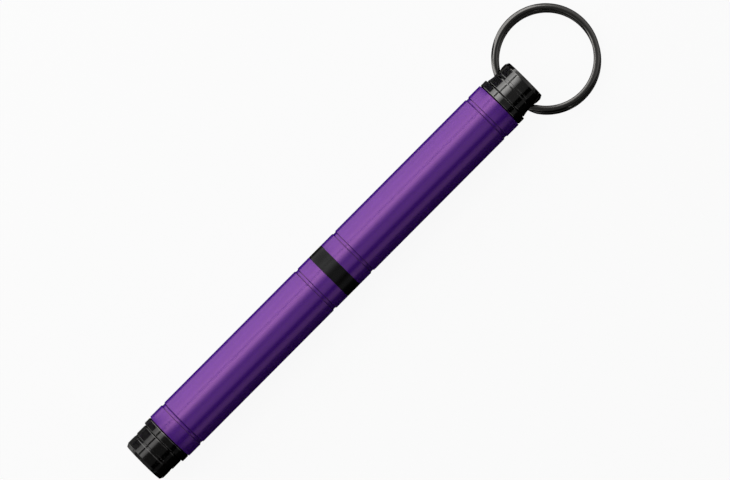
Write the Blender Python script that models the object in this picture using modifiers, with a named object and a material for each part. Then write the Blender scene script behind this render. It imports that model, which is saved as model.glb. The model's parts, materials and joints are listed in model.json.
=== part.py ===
"""Keyring pen: a capped ballpoint in two anodised tubes, with a split ring through its head plug.

Metres, +Z up. The pen lies along X on the ground, tail at -X and key ring at +X. Along the pen, a station
is a distance from the tail's end face. The origin is under the middle of the whole object.
"""

import math

import bmesh
import bpy
import numpy as np
from mathutils import Vector

# Outside of the pen
BODY_DIAMETER = 0.0100
CAP_LENGTH = 0.0409
BAND_LENGTH = 0.0030
FLANGE_LENGTH = 0.0015
FLANGE_STEP = 0.00009
STUB_LENGTH = 0.0053
STUB_LINE_OFFSET = 0.0024
STUB_LINE_WIDTH = 0.0006
STUB_LINE_DEPTH = 0.00008
STUB_TIP_STEP = 0.000075
END_CHAMFER_LENGTH = 0.0005
END_CHAMFER_DEPTH = 0.0004

# Turned grooves and broken edges of the tubes
GROOVE_OFFSET = 0.0033
GROOVE_WIDTH = 0.0008
GROOVE_DEPTH = 0.000175
EDGE_CHAMFER = 0.00010

# Walls
TUBE_WALL = 0.0008
MOUTH_WALL = 0.00035
INSERT_WALL = 0.0006
REFILL_WALL = 0.000275
LIP_WALL = 0.00008

# Clearances
FACE_GAP = 0.00005
FIT_GAP = 0.00003
MOUTH_CLEARANCE = 0.000075
MOUTH_SPARE = 0.0003
SEAT_SPARE = 0.0004
SEAL_GAP = 0.000035
GRIP_CLEARANCE = 0.0001
THREAD_CLEARANCE = 0.00005
REFILL_CLEARANCE = 0.000075
TAIL_BORE_CLEARANCE = 0.000175
SPRING_CLEARANCE = 0.0002
FLOAT_CLEARANCE = 0.00003
BALL_CLEARANCE = 0.00003
TIP_CLEARANCE = 0.0056
RING_CLEARANCE = 0.00008
REST_GAP = 0.00005

# Plugs, thread and seals
HEAD_SPIGOT_LENGTH = 0.0050
SPIGOT_CHAMFER = 0.0003
RING_HOLE_WALL = 0.00045
THREAD_LENGTH = 0.0030
THREAD_RELIEF = 0.0004
TAIL_NECK_LENGTH = 0.0014
TAIL_NECK_DEPTH = 0.0005
TAIL_SEAL_SECTION = 0.0008
TAIL_PILOT_WALL = 0.00105
TAIL_PILOT_OVERLAP = 0.0010
TAIL_END_WALL = 0.0030
CAP_SEAL_SECTION = 0.0010
SEAL_GROOVE_SPARE = 0.0001

# Nose section
NOSE_SPIGOT_LENGTH = 0.0060
BAND_LIP = 0.000125
GRIP_LENGTH = 0.0090
GRIP_RINGS = 5
GRIP_RING_PITCH = 0.0012
GRIP_RING_WIDTH = 0.0006
GRIP_RING_DEPTH = 0.00015
NOSE_TIP_WALL = 0.000625
EXIT_LENGTH = 0.0020

# Refill
REFILL_LENGTH = 0.0670
REFILL_DIAMETER = 0.00235
TIP_PROJECTION = 0.0025
POINT_DIAMETER = 0.0016
POINT_BODY_LENGTH = 0.0045
POINT_SPIGOT_LENGTH = 0.0030
POINT_COLLAR_PROJECTION = 0.0004
INK_CHANNEL_DIAMETER = 0.0005
BALL_DIAMETER = 0.0010
LIP_RISE = 0.00018
END_PLUG_FLANGE_LENGTH = 0.0004
END_PLUG_SPIGOT_LENGTH = 0.0020
FLOAT_OFFSET = 0.0150
FLOAT_LENGTH = 0.0030
SPRING_LENGTH = 0.0110
SPRING_WIRE = 0.0004
SPRING_CURLS = 8

# Split ring, two turns of flattened wire
RING_DIAMETER = 0.0200
RING_WIRE_WIDTH = 0.00125
RING_WIRE_THICKNESS = 0.00055
RING_WIRE_ROUND = 0.0002
RING_TURN_GAP = 0.00045
RING_TURN_SHIFT = 0.0004
RING_SHIFT_ANGLE = math.radians(70)
RING_JOG_CENTRE = math.radians(-8)
RING_JOG_ARC = math.radians(50)

# Facets
SEGMENTS = 32
HOLE_SEGMENTS = 24
GROOVE_STEPS = 4
TAPER_STEPS = 8
SOCKET_STEPS = 5
SEAL_SIDES = 8
BALL_SEGMENTS = 16
BALL_RINGS = 10
RING_POINTS_PER_TURN = 36
RING_GAP_REFINEMENT = 3
CURL_POINTS = 10
MERGE_DISTANCE = 1e-6
SHARP_ANGLE = math.radians(30)

# Radii, from the outside in
BODY_RADIUS = BODY_DIAMETER / 2
FLANGE_RADIUS = BODY_RADIUS - FLANGE_STEP
MOUTH_RADIUS = BODY_RADIUS - MOUTH_WALL
STUB_RADIUS = MOUTH_RADIUS - MOUTH_CLEARANCE
STUB_TIP_RADIUS = STUB_RADIUS - STUB_TIP_STEP
BORE_RADIUS = BODY_RADIUS - TUBE_WALL
SPIGOT_RADIUS = BORE_RADIUS - FIT_GAP
BAND_BORE_RADIUS = STUB_RADIUS - BAND_LIP
GRIP_RADIUS = BORE_RADIUS - GRIP_CLEARANCE
THREAD_RADIUS = SPIGOT_RADIUS - INSERT_WALL - THREAD_CLEARANCE
REFILL_RADIUS = REFILL_DIAMETER / 2
REFILL_BORE_RADIUS = REFILL_RADIUS - REFILL_WALL
POINT_RADIUS = POINT_DIAMETER / 2
BALL_RADIUS = BALL_DIAMETER / 2
SOCKET_RADIUS = BALL_RADIUS + BALL_CLEARANCE
EXIT_RADIUS = POINT_RADIUS + REFILL_CLEARANCE
NOSE_TIP_RADIUS = EXIT_RADIUS + NOSE_TIP_WALL
TAIL_BORE_RADIUS = REFILL_RADIUS + TAIL_BORE_CLEARANCE

# The nose fills the cap up to the point's clearance, and the barrel is as long as its refill and spring need
NOSE_LENGTH = CAP_LENGTH - HEAD_SPIGOT_LENGTH - TIP_CLEARANCE - TIP_PROJECTION
INNER_LENGTH = TAIL_END_WALL + SPRING_LENGTH + REFILL_LENGTH - TIP_PROJECTION
BARREL_LENGTH = INNER_LENGTH - STUB_LENGTH - FLANGE_LENGTH - BAND_LENGTH - NOSE_LENGTH

# Stations along the pen
BARREL_START = STUB_LENGTH + FLANGE_LENGTH
BAND_START = BARREL_START + BARREL_LENGTH
CAP_START = BAND_START + BAND_LENGTH
HEAD_FLANGE_START = CAP_START + CAP_LENGTH
HEAD_STUB_START = HEAD_FLANGE_START + FLANGE_LENGTH
PEN_LENGTH = HEAD_STUB_START + STUB_LENGTH
MOUTH_DEPTH = STUB_LENGTH + MOUTH_SPARE
SEAT_END = CAP_START + MOUTH_DEPTH - SEAT_SPARE
GRIP_END = SEAT_END + GRIP_LENGTH
NOSE_TIP = CAP_START + NOSE_LENGTH
POINT_STOP = NOSE_TIP - EXIT_LENGTH
REFILL_FRONT = NOSE_TIP + TIP_PROJECTION
REFILL_REAR = REFILL_FRONT - REFILL_LENGTH
REFILL_TUBE_END = POINT_STOP - POINT_BODY_LENGTH
BALL_CENTRE = REFILL_FRONT - BALL_RADIUS
THREAD_START = BARREL_START + TAIL_NECK_LENGTH
THREAD_END = THREAD_START + THREAD_LENGTH
TAIL_PILOT_END = max(THREAD_END, REFILL_REAR) + TAIL_PILOT_OVERLAP

# Split ring in its hole: the wire's arc through the stub sets the reach, and the hole clears it at any swing
RING_MID_RADIUS = (RING_DIAMETER - RING_WIRE_WIDTH) / 2
RING_PITCH = RING_WIRE_THICKNESS + RING_TURN_GAP
RING_STACK = RING_PITCH + RING_WIRE_THICKNESS
RING_INNER_RADIUS = RING_MID_RADIUS - RING_WIRE_WIDTH / 2
RING_OUTER_RADIUS = RING_DIAMETER / 2
RING_NEAR_CHORD = math.sqrt(RING_INNER_RADIUS**2 - STUB_RADIUS**2)
RING_CENTRE_REACH = (RING_OUTER_RADIUS + RING_NEAR_CHORD) / 2
RING_HALF_REACH = (RING_OUTER_RADIUS - RING_NEAR_CHORD + RING_TURN_SHIFT * math.cos(RING_SHIFT_ANGLE)) / 2
RING_HOLE_RADIUS = RING_WIRE_ROUND + RING_CLEARANCE + math.hypot(
    RING_HALF_REACH - RING_WIRE_ROUND, RING_STACK / 2 - RING_WIRE_ROUND
)
RING_HOLE_STATION = HEAD_STUB_START + RING_HOLE_WALL + RING_HOLE_RADIUS

# The pen rests on a facet, and the ring droops about its hole until its far rim meets the ground
REST_HEIGHT = BODY_RADIUS * math.cos(math.pi / SEGMENTS)
RING_FAR_REACH = RING_CENTRE_REACH + RING_OUTER_RADIUS + RING_TURN_SHIFT / 2
RING_DROOP = math.asin((REST_HEIGHT - REST_GAP) / math.hypot(RING_FAR_REACH, RING_STACK / 2)) - math.atan2(
    RING_STACK / 2, RING_FAR_REACH
)

PURPLE = (0.16, 0.045, 0.36)
BLACK_METAL = (0.012, 0.012, 0.013)
BLACK_SATIN = (0.014, 0.014, 0.014)
BLACK_RUBBER = (0.010, 0.010, 0.010)
DARK_NICKEL = (0.060, 0.058, 0.056)
BRASS = (0.60, 0.42, 0.16)
STEEL = (0.56, 0.57, 0.58)
CARBIDE = (0.34, 0.35, 0.37)
NATURAL_PLASTIC = (0.72, 0.72, 0.70)


def clear_scene():
    for old in list(bpy.data.objects):
        bpy.data.objects.remove(old, do_unlink=True)


def new_collection(name):
    collection = bpy.data.collections.new(name)
    bpy.context.scene.collection.children.link(collection)
    return collection


def finish_of(name, colour, roughness, metallic):
    """One Principled material."""
    material = bpy.data.materials.new(name)
    material.use_nodes = True
    shader = material.node_tree.nodes["Principled BSDF"]
    shader.inputs["Base Color"].default_value = (*colour, 1.0)
    shader.inputs["Roughness"].default_value = roughness
    shader.inputs["Metallic"].default_value = metallic
    return material


def empty(name, parent=None, location=(0, 0, 0), rotation=(0, 0, 0)):
    node = bpy.data.objects.new(name, None)
    node.empty_display_size = BODY_RADIUS
    node.parent = parent
    node.location = location
    node.rotation_euler = rotation
    parts.objects.link(node)
    return node


def move_to(collection, thing):
    for old in list(thing.users_collection):
        old.objects.unlink(thing)
    collection.objects.link(thing)


def shade_round(thing):
    """Apply the modifiers, then shade smooth with the turned edges kept sharp."""
    graph = bpy.context.evaluated_depsgraph_get()
    mesh = bpy.data.meshes.new_from_object(thing.evaluated_get(graph))
    thing.modifiers.clear()
    thing.data = mesh
    mesh.shade_smooth()
    mesh.set_sharp_from_angle(angle=SHARP_ANGLE)


def turned(name, outline, material, parent):
    """A piece turned about its parent's Z axis. The outline's (station, radius) points run from the front end
    down the outer side to the rear end, and then back up the bore, if there is one."""
    half_facet = math.pi / SEGMENTS
    points = [(r * math.cos(half_facet), r * math.sin(half_facet), station) for station, r in outline]
    edges = [(i, i + 1) for i in range(len(points) - 1)]
    if outline[0][1] > 0:
        edges.append((len(points) - 1, 0))
    mesh = bpy.data.meshes.new(name)
    mesh.from_pydata(points, edges, [])
    mesh.materials.append(material)
    thing = bpy.data.objects.new(name, mesh)
    thing.parent = parent
    parts.objects.link(thing)
    screw = thing.modifiers.new("turning", "SCREW")
    screw.axis = "Z"
    screw.angle = 2 * math.pi
    screw.steps = screw.render_steps = SEGMENTS
    screw.use_merge_vertices = True
    screw.merge_threshold = MERGE_DISTANCE
    return thing


def seal(name, station, outer_radius, section, parent):
    """A round seal ring that lies square to the pen's axis."""
    bpy.ops.mesh.primitive_torus_add(
        major_radius=outer_radius - section / 2,
        minor_radius=section / 2,
        major_segments=SEGMENTS,
        minor_segments=SEAL_SIDES,
    )
    thing = bpy.context.object
    thing.name = thing.data.name = name
    thing.data.materials.append(RUBBER)
    thing.data.shade_smooth()
    thing.parent = parent
    thing.location = (0, 0, station)
    thing.rotation_euler = (0, 0, math.pi / SEGMENTS)
    move_to(parts, thing)
    return thing


def groove(centre, width, depth, radius):
    """Points of a round-bottomed groove, front side first."""
    steps = [1 - 2 * i / GROOVE_STEPS for i in range(GROOVE_STEPS + 1)]
    return [(centre + width / 2 * u, radius - depth * (1 - u * u)) for u in steps]


def tube_outside(start, end):
    """Outer side of a body tube from front to rear: two grooves and broken edges."""
    return [
        (end, BODY_RADIUS - EDGE_CHAMFER),
        (end - EDGE_CHAMFER, BODY_RADIUS),
        *groove(end - GROOVE_OFFSET, GROOVE_WIDTH, GROOVE_DEPTH, BODY_RADIUS),
        *groove(start + GROOVE_OFFSET, GROOVE_WIDTH, GROOVE_DEPTH, BODY_RADIUS),
        (start + EDGE_CHAMFER, BODY_RADIUS),
        (start, BODY_RADIUS - EDGE_CHAMFER),
    ]


def stub_outside():
    """Stepped stub of both plugs, as (distance from its end face, radius), from the end to the flange."""
    line_end = STUB_LINE_OFFSET + STUB_LINE_WIDTH
    return [
        (0.0, 0.0),
        (0.0, STUB_TIP_RADIUS - END_CHAMFER_DEPTH),
        (END_CHAMFER_LENGTH, STUB_TIP_RADIUS),
        (STUB_LINE_OFFSET, STUB_TIP_RADIUS),
        (STUB_LINE_OFFSET, STUB_TIP_RADIUS - STUB_LINE_DEPTH),
        (line_end, STUB_TIP_RADIUS - STUB_LINE_DEPTH),
        (line_end, STUB_RADIUS),
        (STUB_LENGTH, STUB_RADIUS),
        (STUB_LENGTH, FLANGE_RADIUS),
    ]


def cut(thing, cutter):
    move_to(cutters, cutter)
    cutter.hide_render = True
    cutter.display_type = "WIRE"
    difference = thing.modifiers.new(cutter.name, "BOOLEAN")
    difference.operation = "DIFFERENCE"
    difference.object = cutter


def make_barrel(axis):
    start = BARREL_START + FACE_GAP
    outline = tube_outside(start, BAND_START) + [(start, BORE_RADIUS), (BAND_START, BORE_RADIUS)]
    shade_round(turned("barrel_tube", outline, ANODISED, axis))


def make_thread_insert(axis):
    """Threaded sleeve fixed in the barrel's tail, with a counterbore for the tail seal."""
    start = BARREL_START + FACE_GAP
    end = THREAD_END + THREAD_RELIEF
    bore = THREAD_RADIUS + THREAD_CLEARANCE
    counterbore = tail_seal_radius() + SEAL_GAP
    outline = [
        (end, SPIGOT_RADIUS),
        (start, SPIGOT_RADIUS),
        (start, counterbore),
        (THREAD_START, counterbore),
        (THREAD_START, bore),
        (end, bore),
    ]
    shade_round(turned("thread_insert", outline, BRASSWORK, axis))


def tail_seal_radius():
    return THREAD_RADIUS - TAIL_NECK_DEPTH + FIT_GAP + TAIL_SEAL_SECTION


def make_tail(turn, travel):
    """The tail plug, which screws into the insert, with its seal, and the spring in its blind bore."""
    neck = THREAD_RADIUS - TAIL_NECK_DEPTH
    bore = TAIL_BORE_RADIUS
    pilot = bore + TAIL_PILOT_WALL
    outline = [
        (TAIL_END_WALL, 0.0),
        (TAIL_END_WALL, bore),
        (TAIL_PILOT_END, bore),
        (TAIL_PILOT_END, pilot),
        (THREAD_END, pilot),
        (THREAD_END, THREAD_RADIUS),
        (THREAD_START, THREAD_RADIUS),
        (THREAD_START, neck),
        (BARREL_START, neck),
        (BARREL_START, FLANGE_RADIUS),
        *reversed(stub_outside()),
    ]
    shade_round(turned("tail_plug", outline, BLACK, turn))
    seal("tail_seal", BARREL_START + TAIL_NECK_LENGTH / 2, tail_seal_radius(), TAIL_SEAL_SECTION, turn)
    make_spring(travel)


def make_spring(travel):
    """Cushion spring between the tail plug's bore and the refill: a plain helix."""
    wire = SPRING_WIRE / 2
    first = TAIL_END_WALL + FACE_GAP + wire
    last = REFILL_REAR - FACE_GAP - wire
    radius = TAIL_BORE_RADIUS - SPRING_CLEARANCE - wire
    turn = np.linspace(0, SPRING_CURLS, SPRING_CURLS * CURL_POINTS + 1)
    angle = 2 * math.pi * turn
    station = first + (last - first) * turn / SPRING_CURLS
    path = np.stack([radius * np.cos(angle), radius * np.sin(angle), station], axis=1)
    wire_curve("refill_spring", path, SPRING_STEEL, travel).data.bevel_depth = wire
    same_curl = 2 * CURL_POINTS // 3
    gap = least_gap(path, same_curl) - SPRING_WIRE
    print(f"refill_spring: least gap to itself {gap * 1000:.2f} mm")


def wire_curve(name, path, material, parent):
    curve = bpy.data.curves.new(name, "CURVE")
    curve.dimensions = "3D"
    curve.bevel_resolution = 1
    curve.use_fill_caps = True
    curve.materials.append(material)
    spline = curve.splines.new("POLY")
    spline.points.add(len(path) - 1)
    for point, place in zip(spline.points, path):
        point.co = (*place, 1.0)
    spline.use_smooth = True
    thing = bpy.data.objects.new(name, curve)
    thing.parent = parent
    parts.objects.link(thing)
    return thing


def least_gap(points, apart):
    """Least distance between points that are more than this many steps apart along the wire."""
    order = np.arange(len(points))
    distance = np.linalg.norm(points[:, None] - points[None], axis=2)
    return distance[np.abs(order[:, None] - order[None]) > apart].min()


def make_band(axis):
    start = BAND_START + FACE_GAP
    outline = [
        (CAP_START, BODY_RADIUS - EDGE_CHAMFER),
        (CAP_START - EDGE_CHAMFER, BODY_RADIUS),
        (start + EDGE_CHAMFER, BODY_RADIUS),
        (start, BODY_RADIUS - EDGE_CHAMFER),
        (start, BAND_BORE_RADIUS),
        (CAP_START, BAND_BORE_RADIUS),
    ]
    shade_round(turned("centre_band", outline, SATIN, axis))


def cap_seal_radius():
    return MOUTH_RADIUS - SEAL_GAP


def nose_taper():
    """Round-shouldered taper from the tip back to the grip: a quarter wave in radius."""
    share = [i / TAPER_STEPS for i in range(TAPER_STEPS + 1)]
    length = NOSE_TIP - GRIP_END
    rise = GRIP_RADIUS - NOSE_TIP_RADIUS
    return [(NOSE_TIP - length * u, NOSE_TIP_RADIUS + rise * math.sin(u * math.pi / 2)) for u in share]


def grip_rings():
    """Shallow square-cut rings in the middle of the grip, front first."""
    middle = GRIP_END - GRIP_LENGTH / 2
    points = []
    for i in range(GRIP_RINGS):
        front = middle + ((GRIP_RINGS - 1) / 2 - i) * GRIP_RING_PITCH + GRIP_RING_WIDTH / 2
        rear = front - GRIP_RING_WIDTH
        floor = GRIP_RADIUS - GRIP_RING_DEPTH
        points += [(front, GRIP_RADIUS), (front, floor), (rear, floor), (rear, GRIP_RADIUS)]
    return points


def make_nose(axis):
    """Section that carries the refill: spigot in the barrel, seats of the band and the cap, grip and nose."""
    seat_start = CAP_START + FACE_GAP
    seal_floor = cap_seal_radius() - CAP_SEAL_SECTION - FIT_GAP
    seal_middle = (CAP_START + SEAT_END) / 2
    seal_half = CAP_SEAL_SECTION / 2 + SEAL_GROOVE_SPARE
    rear = BAND_START - NOSE_SPIGOT_LENGTH
    bore = REFILL_RADIUS + REFILL_CLEARANCE
    outline = [
        *nose_taper(),
        *grip_rings(),
        (SEAT_END, GRIP_RADIUS),
        (SEAT_END, STUB_RADIUS - EDGE_CHAMFER),
        (SEAT_END - EDGE_CHAMFER, STUB_RADIUS),
        (seal_middle + seal_half, STUB_RADIUS),
        (seal_middle + seal_half, seal_floor),
        (seal_middle - seal_half, seal_floor),
        (seal_middle - seal_half, STUB_RADIUS),
        (seat_start, STUB_RADIUS),
        (seat_start, BAND_BORE_RADIUS - FIT_GAP),
        (BAND_START + FACE_GAP, BAND_BORE_RADIUS - FIT_GAP),
        (BAND_START + FACE_GAP, SPIGOT_RADIUS),
        (rear, SPIGOT_RADIUS),
        (rear, bore),
        (POINT_STOP, bore),
        (POINT_STOP, EXIT_RADIUS),
        (NOSE_TIP, EXIT_RADIUS),
    ]
    shade_round(turned("nose_section", outline, BLACK, axis))
    seal("cap_seal", seal_middle, cap_seal_radius(), CAP_SEAL_SECTION, axis)


def make_refill(axis):
    """Ink tube, end plug, float and point."""
    tube_start = REFILL_REAR + END_PLUG_FLANGE_LENGTH + FACE_GAP
    tube = [
        (REFILL_TUBE_END, REFILL_RADIUS),
        (tube_start, REFILL_RADIUS),
        (tube_start, REFILL_BORE_RADIUS),
        (REFILL_TUBE_END, REFILL_BORE_RADIUS),
    ]
    shade_round(turned("refill_tube", tube, BRASSWORK, axis))
    flange_end = REFILL_REAR + END_PLUG_FLANGE_LENGTH
    spigot = REFILL_BORE_RADIUS - FIT_GAP
    plug = [
        (flange_end + END_PLUG_SPIGOT_LENGTH, 0.0),
        (flange_end + END_PLUG_SPIGOT_LENGTH, spigot),
        (flange_end, spigot),
        (flange_end, REFILL_RADIUS),
        (REFILL_REAR, REFILL_RADIUS),
        (REFILL_REAR, 0.0),
    ]
    shade_round(turned("refill_end_plug", plug, BRASSWORK, axis))
    float_start = REFILL_REAR + FLOAT_OFFSET
    float_radius = REFILL_BORE_RADIUS - FLOAT_CLEARANCE
    ink_float = [
        (float_start + FLOAT_LENGTH, 0.0),
        (float_start + FLOAT_LENGTH, float_radius),
        (float_start, float_radius),
        (float_start, 0.0),
    ]
    shade_round(turned("refill_float", ink_float, PLASTIC, axis))
    make_point(axis)


def make_point(axis):
    """Writing point: spigot in the ink tube, body up to the nose's stop, cone, and the ball's socket."""
    channel = INK_CHANNEL_DIAMETER / 2
    lip_angle = math.asin(LIP_RISE / SOCKET_RADIUS)
    back_angle = math.acos(channel / SOCKET_RADIUS)
    sweep = [lip_angle - (lip_angle + back_angle) * i / SOCKET_STEPS for i in range(SOCKET_STEPS + 1)]
    socket = [(BALL_CENTRE + SOCKET_RADIUS * math.sin(a), SOCKET_RADIUS * math.cos(a)) for a in sweep]
    lip_station, lip_radius = socket[0]
    spigot_rear = REFILL_TUBE_END - POINT_SPIGOT_LENGTH
    body_start = REFILL_TUBE_END + FACE_GAP
    collar_end = NOSE_TIP + POINT_COLLAR_PROJECTION
    outline = [
        (lip_station, lip_radius + LIP_WALL),
        (collar_end, POINT_RADIUS),
        (POINT_STOP - FACE_GAP, POINT_RADIUS),
        (POINT_STOP - FACE_GAP, REFILL_RADIUS),
        (body_start, REFILL_RADIUS),
        (body_start, REFILL_BORE_RADIUS - FIT_GAP),
        (spigot_rear, REFILL_BORE_RADIUS - FIT_GAP),
        (spigot_rear, channel),
        *reversed(socket),
    ]
    shade_round(turned("refill_point", outline, STEELWORK, axis))


def make_ball(axis):
    mesh = bpy.data.meshes.new("writing_ball")
    shape = bmesh.new()
    bmesh.ops.create_uvsphere(shape, u_segments=BALL_SEGMENTS, v_segments=BALL_RINGS, radius=BALL_RADIUS)
    shape.to_mesh(mesh)
    shape.free()
    mesh.shade_smooth()
    mesh.materials.append(BALL_METAL)
    thing = bpy.data.objects.new("writing_ball", mesh)
    thing.parent = axis
    thing.location = (0, 0, BALL_CENTRE)
    parts.objects.link(thing)


def make_cap(slide):
    """Cap tube, whose wider mouth fits the nose's seat and the tail's stub alike, and the head plug."""
    start = CAP_START + FACE_GAP
    mouth_end = CAP_START + MOUTH_DEPTH
    outline = tube_outside(start, HEAD_FLANGE_START) + [
        (start, MOUTH_RADIUS),
        (mouth_end, MOUTH_RADIUS),
        (mouth_end, BORE_RADIUS),
        (HEAD_FLANGE_START, BORE_RADIUS),
    ]
    shade_round(turned("cap_tube", outline, ANODISED, slide))
    flange_start = HEAD_FLANGE_START + FACE_GAP
    spigot_rear = HEAD_FLANGE_START - HEAD_SPIGOT_LENGTH
    outside = [(PEN_LENGTH - depth, radius) for depth, radius in stub_outside()]
    outside += [
        (flange_start, FLANGE_RADIUS),
        (flange_start, SPIGOT_RADIUS),
        (spigot_rear + SPIGOT_CHAMFER, SPIGOT_RADIUS),
        (spigot_rear, SPIGOT_RADIUS - SPIGOT_CHAMFER),
        (spigot_rear, 0.0),
    ]
    plug = turned("head_plug", outside, BLACK, slide)
    through = 2 * BODY_DIAMETER
    bpy.ops.mesh.primitive_cylinder_add(vertices=HOLE_SEGMENTS, radius=RING_HOLE_RADIUS, depth=through)
    hole = bpy.context.object
    hole.name = "ring_hole_cutter"
    hole.parent = slide
    hole.location = (0, 0, RING_HOLE_STATION)
    hole.rotation_euler = (math.pi / 2, 0, 0)
    cut(plug, hole)
    bpy.context.view_layer.update()
    shade_round(plug)


def ring_section():
    """Section of the flattened wire, as a closed guide curve: a rectangle with its corners cut off."""
    half_width, half_thickness, corner = RING_WIRE_WIDTH / 2, RING_WIRE_THICKNESS / 2, RING_WIRE_ROUND
    corners = [
        (half_width, half_thickness - corner),
        (half_width, corner - half_thickness),
        (half_width - corner, -half_thickness),
        (corner - half_width, -half_thickness),
        (-half_width, corner - half_thickness),
        (-half_width, half_thickness - corner),
        (corner - half_width, half_thickness),
        (half_width - corner, half_thickness),
    ]
    curve = bpy.data.curves.new("ring_wire_section", "CURVE")
    curve.dimensions = "2D"
    spline = curve.splines.new("POLY")
    spline.points.add(len(corners) - 1)
    for point, place in zip(spline.points, corners):
        point.co = (*place, 0.0, 1.0)
    spline.use_cyclic_u = True
    guide = bpy.data.objects.new("ring_wire_section", curve)
    guide.hide_render = True
    guide.display_type = "WIRE"
    cutters.objects.link(guide)
    return guide, np.array(corners)


def ring_path(points_per_turn):
    """The wire's middle line: one turn in the lower layer, a jog up, and one turn in the upper layer.
    The turns lie a little off centre from each other. Angle 0 is the rim farthest from the pen."""
    first = RING_JOG_CENTRE + RING_JOG_ARC / 2
    sweep = 4 * math.pi - RING_JOG_ARC
    count = round(points_per_turn * sweep / (2 * math.pi))
    angle = first + sweep * np.arange(count + 1) / count
    climb = np.clip((angle - first - 2 * math.pi + RING_JOG_ARC) / RING_JOG_ARC, 0, 1)
    layer = climb * climb * (3 - 2 * climb) - 0.5
    shift = layer * RING_TURN_SHIFT
    across = RING_CENTRE_REACH + RING_MID_RADIUS * np.cos(angle) + shift * math.cos(RING_SHIFT_ANGLE)
    along = RING_MID_RADIUS * np.sin(angle) + shift * math.sin(RING_SHIFT_ANGLE)
    return np.stack([across, along, layer * RING_PITCH], axis=1), angle


def make_ring(hinge):
    guide, corners = ring_section()
    path, _ = ring_path(RING_POINTS_PER_TURN)
    thing = wire_curve("key_ring", path, RING_METAL, hinge)
    thing.data.twist_mode = "Z_UP"
    thing.data.bevel_mode = "OBJECT"
    thing.data.bevel_object = guide
    fine = RING_GAP_REFINEMENT * RING_POINTS_PER_TURN
    path, angle = ring_path(fine)
    outward = np.stack([np.cos(angle), np.sin(angle), 0 * angle], axis=1)
    upward = np.array([0.0, 0.0, 1.0])
    skin = path[:, None] + corners[None, :, :1] * outward[:, None] + corners[None, :, 1:] * upward
    gap = least_gap(skin.reshape(-1, 3), len(corners) * fine // 2)
    print(f"key_ring: least gap to itself {gap * 1000:.2f} mm")


def stand_on_ground(frame):
    """Move the whole pen so that the origin lies under the middle of its box."""
    bpy.context.view_layer.update()
    graph = bpy.context.evaluated_depsgraph_get()
    corners = []
    for thing in parts.objects:
        if thing.type == "EMPTY":
            continue
        mesh = thing.evaluated_get(graph).to_mesh()
        corners += [thing.matrix_world @ vertex.co for vertex in mesh.vertices]
    low = Vector([min(c[i] for c in corners) for i in range(3)])
    high = Vector([max(c[i] for c in corners) for i in range(3)])
    frame.location -= Vector(((low.x + high.x) / 2, (low.y + high.y) / 2, low.z))
    bpy.context.view_layer.update()


clear_scene()
parts = new_collection("keyring_pen")
cutters = new_collection("cutters")
ANODISED = finish_of("purple_anodised", PURPLE, 0.28, 1.0)
BLACK = finish_of("black_gloss_metal", BLACK_METAL, 0.16, 0.6)
SATIN = finish_of("black_satin", BLACK_SATIN, 0.5, 0.0)
RUBBER = finish_of("black_rubber", BLACK_RUBBER, 0.7, 0.0)
RING_METAL = finish_of("black_nickel", DARK_NICKEL, 0.25, 1.0)
BRASSWORK = finish_of("brass", BRASS, 0.3, 1.0)
STEELWORK = finish_of("steel", STEEL, 0.25, 1.0)
SPRING_STEEL = finish_of("spring_steel", STEEL, 0.35, 1.0)
BALL_METAL = finish_of("carbide", CARBIDE, 0.1, 1.0)
PLASTIC = finish_of("natural_plastic", NATURAL_PLASTIC, 0.4, 0.0)

pen_frame = empty("pen_frame")
pen_axis = empty("pen_axis", pen_frame, rotation=(0, math.pi / 2, 0))
cap_slide = empty("cap_slide", pen_axis)
tail_travel = empty("tail_travel", pen_axis)
tail_turn = empty("tail_turn", tail_travel)
ring_hinge = empty("ring_hinge", pen_frame, (RING_HOLE_STATION, 0, 0), (0, RING_DROOP, 0))
bpy.context.view_layer.update()

make_barrel(pen_axis)
make_thread_insert(pen_axis)
make_tail(tail_turn, tail_travel)
make_band(pen_axis)
make_nose(pen_axis)
make_refill(pen_axis)
make_ball(pen_axis)
make_cap(cap_slide)
make_ring(ring_hinge)
stand_on_ground(pen_frame)
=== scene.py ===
"""Looks of the keyring pen: fine turned surfaces, finishes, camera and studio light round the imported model.

Metres, +Z up. The pen lies along X, its tail at -X and its split ring at +X. An outline is a list of
(x, r) corners, with r measured from the pen's axis. It runs from the front end down the outer side to
the rear end and then back up the bore. Angles round the pen start at the top and grow towards +Y.
"""

import json
import math

import bpy
import numpy as np
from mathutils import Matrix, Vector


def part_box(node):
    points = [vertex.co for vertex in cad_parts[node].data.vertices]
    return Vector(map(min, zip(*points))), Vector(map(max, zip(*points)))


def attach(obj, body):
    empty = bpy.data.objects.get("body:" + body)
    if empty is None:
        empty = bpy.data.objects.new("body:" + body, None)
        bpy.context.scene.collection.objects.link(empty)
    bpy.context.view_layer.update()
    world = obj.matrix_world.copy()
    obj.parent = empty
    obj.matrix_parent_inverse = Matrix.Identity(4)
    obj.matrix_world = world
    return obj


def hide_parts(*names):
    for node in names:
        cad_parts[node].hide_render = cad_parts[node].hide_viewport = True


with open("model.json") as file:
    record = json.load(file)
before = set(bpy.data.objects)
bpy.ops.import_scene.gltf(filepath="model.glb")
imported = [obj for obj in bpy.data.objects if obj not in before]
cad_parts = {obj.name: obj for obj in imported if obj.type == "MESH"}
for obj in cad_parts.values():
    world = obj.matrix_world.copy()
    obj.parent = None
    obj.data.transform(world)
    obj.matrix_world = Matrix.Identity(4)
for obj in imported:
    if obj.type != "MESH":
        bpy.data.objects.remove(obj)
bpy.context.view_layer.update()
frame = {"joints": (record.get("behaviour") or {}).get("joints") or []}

MM = 0.001

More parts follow.
